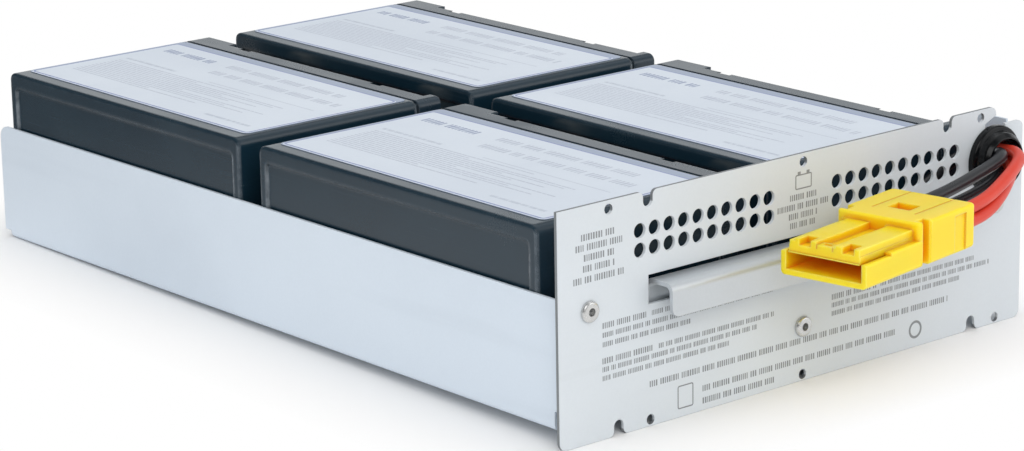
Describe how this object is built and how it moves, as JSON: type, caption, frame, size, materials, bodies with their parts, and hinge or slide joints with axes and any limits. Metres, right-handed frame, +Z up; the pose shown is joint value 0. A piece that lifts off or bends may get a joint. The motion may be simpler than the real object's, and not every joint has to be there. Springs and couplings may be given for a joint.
{
  "type": "ups battery cartridge",
  "caption": "Slide-in battery cartridge for a rack power supply: sealed blocks in a folded steel tray, vented front panel with pull handle, cables to a two-pole connector.",
  "frame": {"origin": "centre of the tray's underside", "axes": "+X to the right as seen from the front, +Y to the rear, +Z up"},
  "size_m": [0.2212, 0.3902, 0.0806],
  "materials": {
    "tray_steel": "plated sheet steel, pale blue-grey, satin",
    "panel_steel": "plated sheet steel, light grey, satin",
    "handle_steel": "plated sheet steel, light grey, satin",
    "rivet_aluminium": "bright aluminium",
    "bushing_nylon": "black nylon, semi-gloss",
    "block_case": "slate-black moulded plastic, fine grain",
    "block_lid": "slate-black moulded plastic, fine grain",
    "tinned_brass": "tinned brass",
    "label_film": "pale film with a violet-blue border line",
    "foam": "dark adhesive foam",
    "receptacle_nylon": "natural nylon",
    "connector_plastic": "yellow moulded plastic, semi-gloss",
    "contact_silver": "silver-plated copper",
    "cable_black": "black cable sheath, semi-gloss",
    "cable_red": "red cable sheath, semi-gloss"
  },
  "bodies": {
    "root": {"adhesive_pad_front_left": "foam", "adhesive_pad_front_right": "foam", "adhesive_pad_rear_left": "foam", "adhesive_pad_rear_right": "foam", "battery_container_front_left": "block_case", "battery_container_front_right": "block_case", "battery_container_rear_left": "block_case", "battery_container_rear_right": "block_case", "battery_label_front_left": "label_film", "battery_label_front_right": "label_film", "battery_label_rear_left": "label_film", "battery_label_rear_right": "label_film", "battery_lid_front_left": "block_lid", "battery_lid_front_right": "block_lid", "battery_lid_rear_left": "block_lid", "battery_lid_rear_right": "block_lid", "battery_terminals_front_left": "tinned_brass", "battery_terminals_front_right": "tinned_brass", "battery_terminals_rear_left": "tinned_brass", "battery_terminals_rear_right": "tinned_brass", "cable_black_lower": "cable_black", "cable_black_upper": "cable_black", "cable_bushing": "bushing_nylon", "cable_red_lower": "cable_red", "cable_red_upper": "cable_red", "connector_contact_negative": "contact_silver", "connector_contact_positive": "contact_silver", "connector_housing": "connector_plastic", "front_panel": "panel_steel", "jumper_left": "cable_black", "jumper_right": "cable_black", "lead_black_left": "cable_black", "lead_black_right": "cable_black", "lead_red_left": "cable_red", "lead_red_right": "cable_red", "panel_rivets": "rivet_aluminium", "pull_handle": "handle_steel", "receptacles_front_left": "receptacle_nylon", "receptacles_front_right": "receptacle_nylon", "receptacles_rear_left": "receptacle_nylon", "receptacles_rear_right": "receptacle_nylon", "tray": "tray_steel"}
  },
  "joints": []
}
